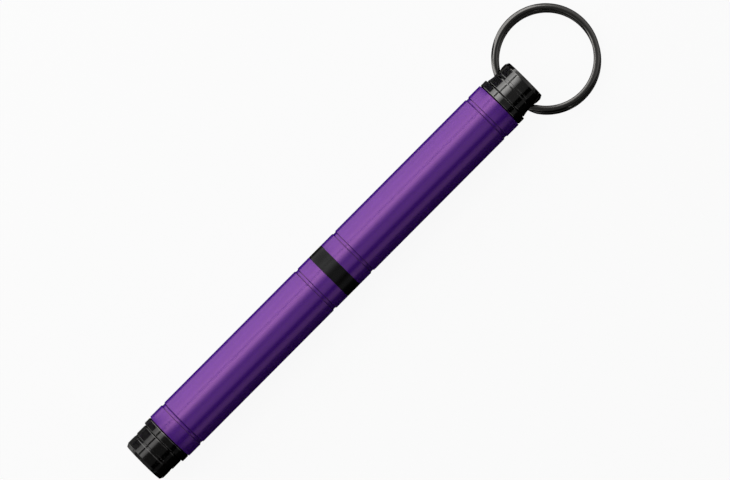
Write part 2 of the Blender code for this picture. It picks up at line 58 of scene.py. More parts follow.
# The photograph's frame: the pen lies at 45 degrees in it, seen from straight above
PHOTO_WIDTH = 730
PHOTO_HEIGHT = 480
PIXELS_PER_METRE = 5510.0
TAIL_PIXEL_ACROSS = 144.1
TAIL_PIXEL_DOWN = 461.9
TAIL_PIXEL_STATION = 0.27 * MM
PICTURE_TURN = math.radians(-45.12)
LENS = 300.0
SENSOR = 36.0
CAMERA_HEIGHT = PHOTO_WIDTH / PIXELS_PER_METRE * LENS / SENSOR

# Outside of the pen
BODY_RADIUS = 5.0 * MM
FLANGE_RADIUS = 4.91 * MM
STUB_RADIUS = 4.575 * MM
STUB_TIP_RADIUS = 4.50 * MM
STUB_LENGTH = 5.3 * MM
FLANGE_LENGTH = 1.5 * MM
END_INSET = 0.09 * MM
END_CHAMFER_LENGTH = 0.66 * MM
END_CHAMFER_DEPTH = 0.34 * MM
STUB_LINE_DEPTH = 0.07 * MM
STUB_LINE_STEEP_RUN = 0.08 * MM
STUB_LINE_WALL_RUN = 0.03 * MM
STUB_LINE_FACET_RUN = 0.20 * MM
STUB_LINE_FACET_RISE = 0.08 * MM
UNDERCUT_WIDTH = 0.26 * MM
UNDERCUT_DEPTH = 0.18 * MM
JOINT_RELIEF = 0.20 * MM
FLANGE_CHAMFER = 0.10 * MM
HEAD_LINE = (2.51 * MM, 3.27 * MM)
TAIL_LINE = (2.44 * MM, 3.06 * MM)
GROOVE_OFFSET = 3.3 * MM
GROOVE_WIDTH = 0.8 * MM
GROOVE_DEPTH = 0.175 * MM
EDGE_CHAMFER = 0.05 * MM
BAND_CHAMFER = 0.03 * MM
BAND_OVERLAP = 0.04 * MM

# Inside of the tubes, and what fits there
BORE_RADIUS = 4.2 * MM
MOUTH_RADIUS = 4.65 * MM
MOUTH_DEPTH = 5.6 * MM
SPIGOT_RADIUS = 4.17 * MM
SPIGOT_CHAMFER = 0.3 * MM
FACE_GAP = 0.05 * MM
FIT_GAP = 0.03 * MM
BAND_BORE_RADIUS = 4.45 * MM
HOLE_RADIUS = 1.556 * MM
COUNTERSINK_START = 4.36 * MM

# Tail thread and seals
TAIL_NECK_LENGTH = 1.4 * MM
TAIL_NECK_RADIUS = 3.02 * MM
THREAD_RADIUS = 3.52 * MM
THREAD_LENGTH = 3.0 * MM
THREAD_PITCH = 1.0 * MM
THREAD_DEPTH = 0.42 * MM
THREAD_RUNOUT = 0.35 * MM
THREAD_STEEPNESS = 2.4
THREAD_CREST = 0.45
TAIL_END_WALL = 3.0 * MM
TAIL_BORE_RADIUS = 1.35 * MM
TAIL_PILOT_RADIUS = 2.4 * MM
TAIL_SEAL_SECTION = 0.8 * MM
CAP_SEAL_SECTION = 1.0 * MM
SEAL_CAD_SIDES = 32
INSERT_BORE_RADIUS = 3.57 * MM
INSERT_COUNTERBORE_RADIUS = 3.885 * MM

# Nose
SEAT_LENGTH = 5.2 * MM
SEAL_GROOVE_HALF = 0.6 * MM
SEAL_GROOVE_RADIUS = 3.585 * MM
GRIP_RADIUS = 4.1 * MM
GRIP_LENGTH = 9.0 * MM
GRIP_RINGS = 5
GRIP_RING_PITCH = 1.2 * MM
GRIP_RING_WIDTH = 0.6 * MM
GRIP_RING_DEPTH = 0.15 * MM
NOSE_TIP_RADIUS = 1.5 * MM
EXIT_LENGTH = 2.0 * MM
EXIT_RADIUS = 0.875 * MM
REFILL_BORE_RADIUS = 1.25 * MM
TAPER_POINTS = 14

# Refill
REFILL_RADIUS = 1.175 * MM
INK_TUBE_BORE_RADIUS = 0.9 * MM
POINT_RADIUS = 0.8 * MM
POINT_BODY_LENGTH = 4.45 * MM
POINT_SPIGOT_LENGTH = 3.05 * MM
POINT_COLLAR = 0.4 * MM
POINT_LIP_RADIUS = 0.5785 * MM
INK_CHANNEL_RADIUS = 0.25 * MM
BALL_CLEARANCE = 0.03 * MM
LIP_RISE = 0.18 * MM
END_PLUG_FLANGE = 0.4 * MM
SPRING_WIRE_RADIUS = 0.2 * MM
SPRING_COIL_RADIUS = 0.95 * MM
SPRING_TURNS = 10
SPRING_CLOSED_TURNS = 1.0
SPRING_CLOSED_PITCH = 2.1 * SPRING_WIRE_RADIUS

# Split ring: it droops to rest on the floor, and its lengthening makes up for that in the photograph's view
RING_DIAMETER = 19.87 * MM
RING_WIRE_WIDTH = 1.25 * MM
RING_WIRE_THICKNESS = 0.80 * MM
RING_TURN_GAP = 0.05 * MM
RING_TURN_SHIFT = 0.47 * MM
RING_TURN_TAPER = 0.035 * MM
RING_SHIFT_ANGLE = math.radians(69)
RING_JOG_CENTRE = math.radians(180)
RING_JOG_ARC = math.radians(50)
RING_CENTRE_REACH = 8.50 * MM
RING_LENGTHENING = 1.034
RING_CENTRE_SIDE = -0.14 * MM
RING_DROOP = math.radians(12.726)
RING_END_LENGTH = 0.12 * MM
RING_END_LEAST = 0.04
RING_EASE = math.radians(10)

# Fineness of the surfaces
COLUMNS = 192
CORNER_STEPS = 4
CORNER_LEAD = 1.6
CORNER_SHARE = 0.3
BROKEN_EDGE = 0.03 * MM
PLUG_EDGE = 0.05 * MM
ROW_SPACING = 0.50 * MM
THREAD_ROW_SPACING = 0.03 * MM
GROOVE_POINTS = 17
RING_STEPS_PER_TURN = 240
RING_SIDES = 48
SPRING_STEPS_PER_TURN = 48
SPRING_SIDES = 16
SEAL_SIDES = 48
HOLE_COLUMNS = 128
SHARP_ANGLE = math.radians(35)
TINY = 1e-12

# Finishes
TURNED_LINE_STRETCH = 60.0
DRAWN_LINE_STRETCH = 120.0
RING_LINE_PITCH = 0.05 * MM
RING_LINE_BEATS = 6.0
EDGE_WEAR = 0.25
# Share of painted shade on the faces that run across the pen: groove walls and tube ends
GROOVE_SHADE = 0.7


def span(node):
    """First and last x of a CAD node."""
    low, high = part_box(node)
    return low.x, high.x


AXIS_Z = sum(corner.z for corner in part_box("barrel_tube")) / 2
HINGE = next(joint["pos_m"] for joint in frame["joints"] if joint["name"] == "ring_swing")


def rounded(corners, closed, reach=BROKEN_EDGE):
    """Outline whose corners are broken: each corner p becomes the parabola (1-t)^2 a + 2t(1-t) p + t^2 b.

    Here a and b lie on its two sides at the reach, or at a share of a shorter side. Returns the points
    and, for each of them, how far it lies on an outer corner: 1 in the middle of a square one, 0 on a side.
    """
    p = np.array(corners, float)
    before = np.roll(p, 1, axis=0) - p
    after = np.roll(p, -1, axis=0) - p
    length_before = np.linalg.norm(before, axis=1, keepdims=True)
    length_after = np.linalg.norm(after, axis=1, keepdims=True)
    before /= length_before
    after /= length_after
    cut = np.minimum(reach, CORNER_SHARE * np.minimum(length_before, length_after))
    t = np.linspace(0, 1, CORNER_STEPS + 1)[None, :, None]
    middle = p[:, None]
    start = middle + (before * cut)[:, None]
    end = middle + (after * cut)[:, None]
    bend = (1 - t) ** 2 * start + 2 * t * (1 - t) * middle + t**2 * end
    lead = middle + CORNER_LEAD * (start - middle)
    trail = middle + CORNER_LEAD * (end - middle)
    points = np.concatenate([lead, bend, trail], axis=1)
    turn = np.clip(before[:, 1] * after[:, 0] - before[:, 0] * after[:, 1], 0, 1)
    edge = np.zeros(points.shape[:2])
    edge[:, 1:-1] = turn[:, None] * (4 * t * (1 - t))[0, :, 0]
    if closed:
        return points.reshape(-1, 2), edge.ravel()
    points, edge = points[1:-1].reshape(-1, 2), edge[1:-1].ravel()
    ends = p[[0, -1]]
    return np.concatenate([ends[:1], points, ends[1:]]), np.concatenate([[0], edge, [0]])


def even_rows(middle):
    """Row spacing of a plain turned piece: the same everywhere."""
    return np.full(len(middle), ROW_SPACING)


def finer(points, edge, spacing, closed):
    """The outline with more points along it, so that no stretch is longer than the spacing at its middle."""
    if closed:
        points = np.concatenate([points, points[:1]])
        edge = np.concatenate([edge, edge[:1]])
    along = np.concatenate([[0], np.cumsum(np.linalg.norm(np.diff(points, axis=0), axis=1))])
    stretch = np.diff(along)
    parts = np.maximum(1, np.ceil(stretch / spacing((points[1:] + points[:-1]) / 2))).astype(int)
    which = np.repeat(np.arange(len(parts)), parts)
    step = np.arange(len(which)) - np.repeat(np.cumsum(parts) - parts, parts)
    places = along[which] + stretch[which] * step / parts[which]
    if not closed:
        places = np.append(places, along[-1])
    columns = [np.interp(places, along, column) for column in (*points.T, edge)]
    return np.stack(columns[:2], axis=1), columns[2]


def grid_mesh(name, place, wrap_rows, **marks):
    """Closed mesh of a grid of places, rows by columns.

    Columns run round and join. Rows join as well if asked, and otherwise the first and the last row are
    each one point, where the faces meet in a fan. A mark gives each row a value, which finishes read as an
    attribute.
    """
    tips = place[[0, -1], 0]
    if not wrap_rows:
        place = place[1:-1]
    rows, columns = place.shape[:2]
    index = np.arange(rows * columns).reshape(rows, columns)
    if wrap_rows:
        index = np.vstack([index, index[:1]])
    index = np.hstack([index, index[:, :1]])
    here, ahead = index[:-1], index[1:]
    corners = [here[:, :-1], ahead[:, :-1], ahead[:, 1:], here[:, 1:]]
    faces = np.stack(corners, axis=2).reshape(-1, 4).tolist()
    vertices = place.reshape(-1, 3)
    if not wrap_rows:
        first = np.full(columns, len(vertices))
        faces += np.stack([first, index[0, :-1], index[0, 1:]], axis=1).tolist()
        faces += np.stack([index[-1, :-1], first + 1, index[-1, 1:]], axis=1).tolist()
        vertices = np.concatenate([vertices, tips])
    mesh = bpy.data.meshes.new(name)
    mesh.from_pydata(vertices.tolist(), [], faces)
    for mark, value in marks.items():
        by_point = np.repeat(value if wrap_rows else value[1:-1], columns)
        if not wrap_rows:
            by_point = np.append(by_point, value[[0, -1]])
        mesh.attributes.new(mark, "FLOAT", "POINT").data.foreach_set("value", by_point.astype(np.float32))
    if enclosed_volume(mesh) < 0:
        mesh.flip_normals()
    mesh.shade_smooth()
    return mesh


def enclosed_volume(mesh):
    """Sum over the triangles of a . (b x c) / 6, which is positive where the faces point outwards."""
    mesh.calc_loop_triangles()
    corners = np.empty(3 * len(mesh.loop_triangles), np.int32)
    mesh.loop_triangles.foreach_get("vertices", corners)
    places = np.empty(3 * len(mesh.vertices), np.float32)
    mesh.vertices.foreach_get("co", places)
    a, b, c = places.reshape(-1, 3)[corners].reshape(-1, 3, 3).transpose(1, 0, 2).astype(float)
    return np.einsum("ij,ij->", a, np.cross(b, c)) / 6


def turned_mesh(name, points, edge, closed, thread=None):
    """Surface of revolution: (x, r) and angle a give (x, r sin a, axis + r cos a).

    A thread takes its depth off r. The slope is 0 where the outline runs along the pen and 1 where it runs
    across.
    """
    angle = 2 * math.pi * np.arange(COLUMNS) / COLUMNS
    x = points[:, :1] + 0 * angle
    r = points[:, 1:] + 0 * angle
    if thread is not None:
        r = r - thread(x, r, angle)
    place = np.stack([x, r * np.sin(angle), AXIS_Z + r * np.cos(angle)], axis=2)
    ahead = np.roll(points, -1, axis=0) - np.roll(points, 1, axis=0)
    slope = np.abs(ahead[:, 1]) / np.maximum(np.linalg.norm(ahead, axis=1), TINY)
    return grid_mesh(name, place, closed, edge=edge, slope=slope)


def swept_mesh(name, centre, across, up, section, scale):
    """A section carried along a path: place = centre + scale (s across + h up), with a fan at both ends."""
    spread = section[None, :, :1] * across[:, None] + section[None, :, 1:] * up[:, None]
    place = centre[:, None] + scale[:, None, None] * spread
    ends = np.repeat(centre[[0, -1]][:, None], len(section), axis=1)
    place = np.concatenate([ends[:1], place, ends[1:]])
    return grid_mesh(name, place, False)


def piece(name, mesh, body, slot, node):
    """One finished piece: it takes its slot's finish, rides on its body and stands for its CAD node."""
    thing = bpy.data.objects.new(name, mesh)
    bpy.context.scene.collection.objects.link(thing)
    mesh.materials.append(FINISHES[slot])
    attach(thing, body)
    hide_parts(node)
    return thing


def turned_piece(
    name, corners, closed, body, slot, node, reach=BROKEN_EDGE, spacing=even_rows, thread=None
):
    """Piece turned about the pen's axis from an outline's corners."""
    points, edge = finer(*rounded(corners, closed, reach), spacing, closed)
    return piece(name, turned_mesh(name, points, edge, closed, thread), body, slot, node)


def groove(centre, radius):
    """Round-cornered groove: r = radius - depth (1 - u^4) for u from 1 to -1 across its width."""
    u = np.linspace(1, -1, GROOVE_POINTS)
    return np.stack([centre + GROOVE_WIDTH / 2 * u, radius - GROOVE_DEPTH * (1 - u**4)], axis=1).tolist()


def tube_side(rear, front):
    """Outer side of a body tube: broken edges and two grooves."""
    return [
        (front, BODY_RADIUS - EDGE_CHAMFER),
        (front - EDGE_CHAMFER, BODY_RADIUS),
        *groove(front - GROOVE_OFFSET, BODY_RADIUS),
        *groove(rear + GROOVE_OFFSET, BODY_RADIUS),
        (rear + EDGE_CHAMFER, BODY_RADIUS),
        (rear, BODY_RADIUS - EDGE_CHAMFER),
    ]


def make_barrel():
    """Tail half of the body: a plain tube with two grooves."""
    rear, front = span("barrel_tube")
    corners = tube_side(rear, front) + [(rear, BORE_RADIUS), (front, BORE_RADIUS)]
    turned_piece("barrel", corners, True, "pen", "purple_anodised", "barrel_tube")


def make_cap():
    """Ring half of the body: a tube with two grooves and a wider mouth for the nose's seat."""
    rear, front = span("cap_tube")
    mouth = rear + MOUTH_DEPTH - FACE_GAP
    bore = [(rear, MOUTH_RADIUS), (mouth, MOUTH_RADIUS), (mouth, BORE_RADIUS), (front, BORE_RADIUS)]
    turned_piece("cap", tube_side(rear, front) + bore, True, "cap", "purple_anodised", "cap_tube")


def make_band():
    """Band between the tubes, let into both by a hair so that no light shows through."""
    rear, front = span("centre_band")
    rear -= BAND_OVERLAP
    front += BAND_OVERLAP
    corners = [
        (front, BODY_RADIUS - BAND_CHAMFER),
        (front - BAND_CHAMFER, BODY_RADIUS),
        (rear + BAND_CHAMFER, BODY_RADIUS),
        (rear, BODY_RADIUS - BAND_CHAMFER),
        (rear, BAND_BORE_RADIUS),
        (front, BAND_BORE_RADIUS),
    ]
    turned_piece("band", corners, True, "pen", "black_satin", "centre_band")


def head_line(near, far):
    """Turned line of the head's stub: a steep wall down, its floor, a short wall and a shallow facet up."""
    floor = STUB_TIP_RADIUS - STUB_LINE_DEPTH
    return [
        (near, STUB_TIP_RADIUS),
        (near + STUB_LINE_STEEP_RUN, floor),
        (far - STUB_LINE_FACET_RUN - STUB_LINE_WALL_RUN, floor),
        (far - STUB_LINE_FACET_RUN, STUB_RADIUS - STUB_LINE_FACET_RISE),
        (far, STUB_RADIUS),
    ]


def tail_line(near, far):
    """Turned line of the tail's stub: a steep wall down, its floor and a steep wall up."""
    floor = STUB_TIP_RADIUS - STUB_LINE_DEPTH
    return [
        (near, STUB_TIP_RADIUS),
        (near + STUB_LINE_STEEP_RUN, floor),
        (far - STUB_LINE_STEEP_RUN, floor),
        (far, STUB_RADIUS),
    ]


def stub(line):
    """Stub of either plug as (depth from its end, r): face, chamfer, tip, line, side, undercut, flange."""
    return [
        (END_INSET, 0.0),
        (END_INSET, STUB_TIP_RADIUS - END_CHAMFER_DEPTH),
        (END_INSET + END_CHAMFER_LENGTH, STUB_TIP_RADIUS),
        *line,
        (STUB_LENGTH - UNDERCUT_WIDTH, STUB_RADIUS),
        (STUB_LENGTH, STUB_RADIUS - UNDERCUT_DEPTH),
        (STUB_LENGTH, FLANGE_RADIUS - FLANGE_CHAMFER),
        (STUB_LENGTH + FLANGE_CHAMFER, FLANGE_RADIUS),
    ]


def make_head():
    """Plug of the cap, with the countersunk cross hole that the split ring goes through."""
    rear, front = span("head_plug")
    shoulder = front - STUB_LENGTH - FLANGE_LENGTH + FACE_GAP
    corners = [(front - depth, r) for depth, r in stub(head_line(*HEAD_LINE))] + [
        (shoulder + JOINT_RELIEF, FLANGE_RADIUS),
        (shoulder, FLANGE_RADIUS - JOINT_RELIEF),
        (shoulder, SPIGOT_RADIUS),
        (rear + SPIGOT_CHAMFER, SPIGOT_RADIUS),
        (rear, SPIGOT_RADIUS - SPIGOT_CHAMFER),
        (rear, 0.0),
    ]
    head = turned_piece(
        "head", corners, False, "cap", "black_gloss_metal", "head_plug", reach=PLUG_EDGE
    )
    drill = bpy.data.objects.new("drill", drill_mesh())
    bpy.context.scene.collection.objects.link(drill)
    hole = head.modifiers.new("ring hole", "BOOLEAN")
    hole.operation = "DIFFERENCE"
    hole.object = drill
    bpy.context.view_layer.update()
    depsgraph = bpy.context.evaluated_depsgraph_get()
    drilled = bpy.data.meshes.new_from_object(head.evaluated_get(depsgraph))
    head.modifiers.clear()
    head.data = drilled
    drilled.shade_smooth()
    drilled.set_sharp_from_angle(angle=SHARP_ANGLE)
    bpy.data.objects.remove(drill, do_unlink=True)


def drill_mesh():
    """Drill along Y at the hinge: a cylinder that opens at 45 degrees past the countersink's start."""
    far = 2 * BODY_RADIUS
    wide = HOLE_RADIUS + far - COUNTERSINK_START
    length = np.array([far, far, COUNTERSINK_START, -COUNTERSINK_START, -far, -far])[:, None]
    r = np.array([0, wide, HOLE_RADIUS, HOLE_RADIUS, wide, 0])[:, None]
    angle = 2 * math.pi * np.arange(HOLE_COLUMNS) / HOLE_COLUMNS
    x = HINGE[0] + r * np.cos(angle)
    y = HINGE[1] + length + 0 * angle
    z = HINGE[2] + r * np.sin(angle)
    return grid_mesh("drill", np.stack([x, y, z], axis=2), False)


def tail_stations():
    """Flange face, thread's start and thread's end along the tail plug."""
    flange = span("tail_plug")[0] + STUB_LENGTH + FLANGE_LENGTH
    return flange, flange + TAIL_NECK_LENGTH, flange + TAIL_NECK_LENGTH + THREAD_LENGTH


def tail_thread(x, r, angle):
    """Depth of a right-hand thread: a flattened V in the phase x / pitch + angle / turn, fading out."""
    _, start, end = tail_stations()
    phase = (x / THREAD_PITCH + angle / (2 * math.pi)) % 1
    valley = np.clip(THREAD_STEEPNESS * (1 - np.abs(2 * phase - 1)) - THREAD_CREST, 0, 1)
    fade = np.clip((x - start) / THREAD_RUNOUT, 0, 1) * np.clip((end - x) / THREAD_RUNOUT, 0, 1)
    return THREAD_DEPTH * valley * fade * on_thread(r)


def on_thread(r):
    """Whether a radius is that of the thread's crest."""
    return np.abs(r - THREAD_RADIUS) < BROKEN_EDGE


def tail_rows(middle):
    """Row spacing of the tail plug: close on its thread."""
    return np.where(on_thread(middle[:, 1]), THREAD_ROW_SPACING, ROW_SPACING)


def make_tail():
    """Plug of the barrel: stub, flange, neck for its seal, thread, and a pilot with the spring's bore."""
    rear, front = span("tail_plug")
    flange, thread_start, thread_end = tail_stations()
    floor = rear + TAIL_END_WALL
    corners = [
        (floor, 0.0),
        (floor, TAIL_BORE_RADIUS),
        (front, TAIL_BORE_RADIUS),
        (front, TAIL_PILOT_RADIUS),
        (thread_end, TAIL_PILOT_RADIUS),
        (thread_end, THREAD_RADIUS),
        (thread_start, THREAD_RADIUS),
        (thread_start, TAIL_NECK_RADIUS),
        (flange, TAIL_NECK_RADIUS),
        (flange, FLANGE_RADIUS - JOINT_RELIEF),
        (flange - JOINT_RELIEF, FLANGE_RADIUS),
        *[(rear + depth, r) for depth, r in reversed(stub(tail_line(*TAIL_LINE)))],
    ]
    turned_piece(
        "tail", corners, False, "tail", "black_gloss_metal", "tail_plug",
        reach=PLUG_EDGE, spacing=tail_rows, thread=tail_thread,
    )


def make_seal(name, node, section, body):
    """Round seal: a circle of the section's radius, turned about the axis."""
    rear, front = span(node)
    low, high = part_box(node)
    ring_radius = (high.y - low.y) / 2 / math.cos(math.pi / SEAL_CAD_SIDES) - section / 2
    angle = 2 * math.pi * np.arange(SEAL_SIDES) / SEAL_SIDES
    circle = np.stack([np.cos(angle), np.sin(angle)], axis=1) * section / 2
    points = circle + [(rear + front) / 2, ring_radius]
    piece(name, turned_mesh(name, points, np.zeros(len(points)), True), body, "black_rubber", node)


def make_insert():
    """Brass sleeve in the barrel's tail for the plug's thread, with a counterbore for its seal."""
    rear, front = span("thread_insert")
    _, thread_start, _ = tail_stations()
    corners = [
        (front, SPIGOT_RADIUS),
        (rear, SPIGOT_RADIUS),
        (rear, INSERT_COUNTERBORE_RADIUS),
        (thread_start, INSERT_COUNTERBORE_RADIUS),
        (thread_start, INSERT_BORE_RADIUS),
        (front, INSERT_BORE_RADIUS),
    ]
    turned_piece("insert", corners, True, "pen", "brass", "thread_insert")


def nose_taper(tip, grip_end):
    """Round-shouldered taper: r = tip radius + rise sin(pi u / 2), u from 0 at the tip to 1 at the grip."""
    u = np.linspace(0, 1, TAPER_POINTS)
    r = NOSE_TIP_RADIUS + (GRIP_RADIUS - NOSE_TIP_RADIUS) * np.sin(math.pi * u / 2)
    return np.stack([tip - (tip - grip_end) * u, r], axis=1).tolist()


def grip_rings(middle):
    """Square-cut rings round the grip, front first."""
    order = (GRIP_RINGS - 1) / 2 - np.arange(GRIP_RINGS)
    steps = np.array([1, 1, -1, -1]) * GRIP_RING_WIDTH / 2
    x = middle + order[:, None] * GRIP_RING_PITCH + steps
    r = np.broadcast_to(GRIP_RADIUS - np.array([0, 1, 1, 0]) * GRIP_RING_DEPTH, x.shape)
    return np.stack([x.ravel(), r.ravel()], axis=1).tolist()


def make_nose():
    """Section that carries the refill: spigot in the barrel, seats of band and cap, grip and nose."""
    rear, tip = span("nose_section")
    band_rear, band_front = span("centre_band")
    seat_start = band_front + FACE_GAP
    seat_end = band_front + SEAT_LENGTH
    grip_end = seat_end + GRIP_LENGTH
    seal = sum(span("cap_seal")) / 2
    corners = [
        *nose_taper(tip, grip_end),
        *grip_rings(grip_end - GRIP_LENGTH / 2),
        (seat_end, GRIP_RADIUS),
        (seat_end, STUB_RADIUS - EDGE_CHAMFER),
        (seat_end - EDGE_CHAMFER, STUB_RADIUS),
        (seal + SEAL_GROOVE_HALF, STUB_RADIUS),
        (seal + SEAL_GROOVE_HALF, SEAL_GROOVE_RADIUS),
        (seal - SEAL_GROOVE_HALF, SEAL_GROOVE_RADIUS),
        (seal - SEAL_GROOVE_HALF, STUB_RADIUS),
        (seat_start, STUB_RADIUS),
        (seat_start, BAND_BORE_RADIUS - FIT_GAP),
        (band_rear, BAND_BORE_RADIUS - FIT_GAP),
        (band_rear, SPIGOT_RADIUS),
        (rear, SPIGOT_RADIUS),
        (rear, REFILL_BORE_RADIUS),
        (tip - EXIT_LENGTH, REFILL_BORE_RADIUS),
        (tip - EXIT_LENGTH, EXIT_RADIUS),
        (tip, EXIT_RADIUS),
    ]
    turned_piece("nose", corners, True, "pen", "black_gloss_metal", "nose_section")


def make_refill():
    """Ink tube, end plug, float, point and ball."""
    rear, front = span("refill_tube")
    tube = [
        (front, REFILL_RADIUS),
        (rear, REFILL_RADIUS),
        (rear, INK_TUBE_BORE_RADIUS),
        (front, INK_TUBE_BORE_RADIUS),
    ]
    turned_piece("ink_tube", tube, True, "pen", "brass", "refill_tube")
    rear, front = span("refill_end_plug")
    inside = INK_TUBE_BORE_RADIUS - FIT_GAP
    flange = rear + END_PLUG_FLANGE
    plug = [
        (front, 0.0),
        (front, inside),
        (flange, inside),
        (flange, REFILL_RADIUS),
        (rear, REFILL_RADIUS),
        (rear, 0.0),
    ]
    turned_piece("tube_end", plug, False, "pen", "brass", "refill_end_plug")
    rear, front = span("refill_float")
    ink_float = [(front, 0.0), (front, inside), (rear, inside), (rear, 0.0)]
    turned_piece("ink_float", ink_float, False, "float", "natural_plastic", "refill_float")
    make_point()
    make_ball()


def make_point():
    """Writing point: spigot in the ink tube, body, collar, cone, and a socket closed round the ball.

    The socket is the arc (middle + r sin t, r cos t) from the ink channel to the lip.
    """
    rear, _ = span("refill_point")
    ball_rear, ball_front = span("writing_ball")
    ball_middle = (ball_rear + ball_front) / 2
    socket_radius = (ball_front - ball_rear) / 2 + BALL_CLEARANCE
    nose_tip = span("nose_section")[1]
    body_rear = rear + POINT_SPIGOT_LENGTH
    body_front = body_rear + POINT_BODY_LENGTH - FACE_GAP
    lip = math.asin(LIP_RISE / socket_radius)
    back = -math.acos(INK_CHANNEL_RADIUS / socket_radius)
    sweep = np.linspace(back, lip, TAPER_POINTS)
    socket = socket_radius * np.stack([np.sin(sweep), np.cos(sweep)], axis=1) + [ball_middle, 0]
    corners = [
        (socket[-1][0], POINT_LIP_RADIUS),
        (nose_tip + POINT_COLLAR, POINT_RADIUS),
        (body_front, POINT_RADIUS),
        (body_front, REFILL_RADIUS),
        (body_rear, REFILL_RADIUS),
        (body_rear, INK_TUBE_BORE_RADIUS - FIT_GAP),
        (rear, INK_TUBE_BORE_RADIUS - FIT_GAP),
        (rear, INK_CHANNEL_RADIUS),
        *socket.tolist(),
    ]
    turned_piece("point", corners, True, "pen", "steel", "refill_point", reach=BROKEN_EDGE / 2)


def make_ball():
    """Ball: the half circle (middle + r cos t, r sin t), t from 0 to pi, turned about the axis."""
    rear, front = span("writing_ball")
    t = np.linspace(0, math.pi, SEAL_SIDES)
    points = np.stack([np.cos(t), np.sin(t)], axis=1) * (front - rear) / 2 + [(front + rear) / 2, 0]
    piece("ball", turned_mesh("ball", points, np.zeros(len(t)), False), "ball", "carbide", "writing_ball")


def make_spring():
    """Helix with closed ends: the turn at either end lies flat, and the rest climb evenly between them."""
    rear, front = span("refill_spring")
    turn = np.linspace(0, SPRING_TURNS, SPRING_TURNS * SPRING_STEPS_PER_TURN + 1)
    angle = 2 * math.pi * turn
    knots = [0, SPRING_CLOSED_TURNS, SPRING_TURNS - SPRING_CLOSED_TURNS, SPRING_TURNS]
    first, last = rear + SPRING_WIRE_RADIUS, front - SPRING_WIRE_RADIUS
    x = np.interp(turn, knots, [first, first + SPRING_CLOSED_PITCH, last - SPRING_CLOSED_PITCH, last])
    radial = np.stack([0 * angle, np.sin(angle), np.cos(angle)], axis=1)
    centre = np.stack([x, 0 * x, AXIS_Z + 0 * x], axis=1) + SPRING_COIL_RADIUS * radial
    along_axis = np.broadcast_to(np.array([1.0, 0.0, 0.0]), radial.shape)
    around = 2 * math.pi * np.arange(SPRING_SIDES) / SPRING_SIDES
    section = SPRING_WIRE_RADIUS * np.stack([np.cos(around), np.sin(around)], axis=1)
    mesh = swept_mesh("spring", centre, radial, along_axis, section, np.ones(len(turn)))
    piece("spring", mesh, "tail_carrier", "spring_steel", "refill_spring")


def make_ring():
    """Split ring: a turn in the lower layer, a jog up inside the head's hole, and a turn in the upper layer.

    It lies in the plane that droops from the hinge. Away from the hole the upper turn is a little larger
    and lies off centre. The wire's section is the ellipse (w cos t, h sin t), drawn in at the two ends.
    """
    pitch = RING_WIRE_THICKNESS + RING_TURN_GAP
    middle_radius = (RING_DIAMETER - RING_WIRE_WIDTH) / 2
    first = RING_JOG_CENTRE + RING_JOG_ARC / 2
    sweep = 4 * math.pi - RING_JOG_ARC
    angle = first + sweep * np.linspace(0, 1, round(RING_STEPS_PER_TURN * sweep / (2 * math.pi)))
    climb = np.clip((angle - first - 2 * math.pi + RING_JOG_ARC) / RING_JOG_ARC, 0, 1)
    layer = climb * climb * (3 - 2 * climb) - 0.5
    from_jog = np.abs((angle - RING_JOG_CENTRE + math.pi) % (2 * math.pi) - math.pi) - RING_JOG_ARC / 2
    ease = np.sin(math.pi / 2 * np.clip(from_jog / RING_EASE, 0, 1)) ** 2
    shift = layer * ease * RING_TURN_SHIFT
    radius = middle_radius + layer * ease * RING_TURN_TAPER
    lift = layer * pitch
    lean = lift * math.tan(RING_DROOP)
    p = RING_CENTRE_REACH + radius * np.cos(angle) + shift * math.cos(RING_SHIFT_ANGLE) - lean
    q = RING_CENTRE_SIDE + radius * np.sin(angle) + shift * math.sin(RING_SHIFT_ANGLE)
    outward = RING_LENGTHENING * np.array([math.cos(RING_DROOP), 0, -math.sin(RING_DROOP)])
    sideways = np.array([0.0, 1.0, 0.0])
    upward = np.array([math.sin(RING_DROOP), 0, math.cos(RING_DROOP)])
    centre = np.array(HINGE) + p[:, None] * outward + q[:, None] * sideways + lift[:, None] * upward
    across = np.cos(angle)[:, None] * outward + np.sin(angle)[:, None] * sideways
    up = np.broadcast_to(upward, across.shape)
    around = 2 * math.pi * np.arange(RING_SIDES) / RING_SIDES
    half_sizes = np.array([RING_WIRE_WIDTH, RING_WIRE_THICKNESS]) / 2
    section = np.stack([np.cos(around), np.sin(around)], axis=1) * half_sizes
    from_end = np.minimum(angle - angle[0], angle[-1] - angle) * middle_radius / RING_END_LENGTH
    scale = np.sqrt(np.clip(1 - (1 - np.clip(from_end, 0, 1)) ** 2, RING_END_LEAST, 1))
    mesh = swept_mesh("split_ring", centre, across, up, section, scale)
    piece("split_ring", mesh, "ring", "black_nickel", "key_ring")


class Socket:
    """An output in a material. Arithmetic on it adds Math nodes."""

    def __init__(self, finish, output):
        self.finish = finish
        self.output = output

    def other(self, name):
        return Socket(self.finish, self.output.node.outputs[name])

    def maths(self, operation, first, second=0.0):
        return self.finish.node("ShaderNodeMath", {"operation": operation}, {0: first, 1: second})

    def __add__(self, value):
        return self.maths("ADD", self, value)

    def __sub__(self, value):
        return self.maths("SUBTRACT", self, value)

    def __rsub__(self, value):
        return self.maths("SUBTRACT", value, self)

    def __mul__(self, value):
        return self.maths("MULTIPLY", self, value)

    def __truediv__(self, value):
        return self.maths("DIVIDE", self, value)

    __radd__ = __add__
    __rmul__ = __mul__


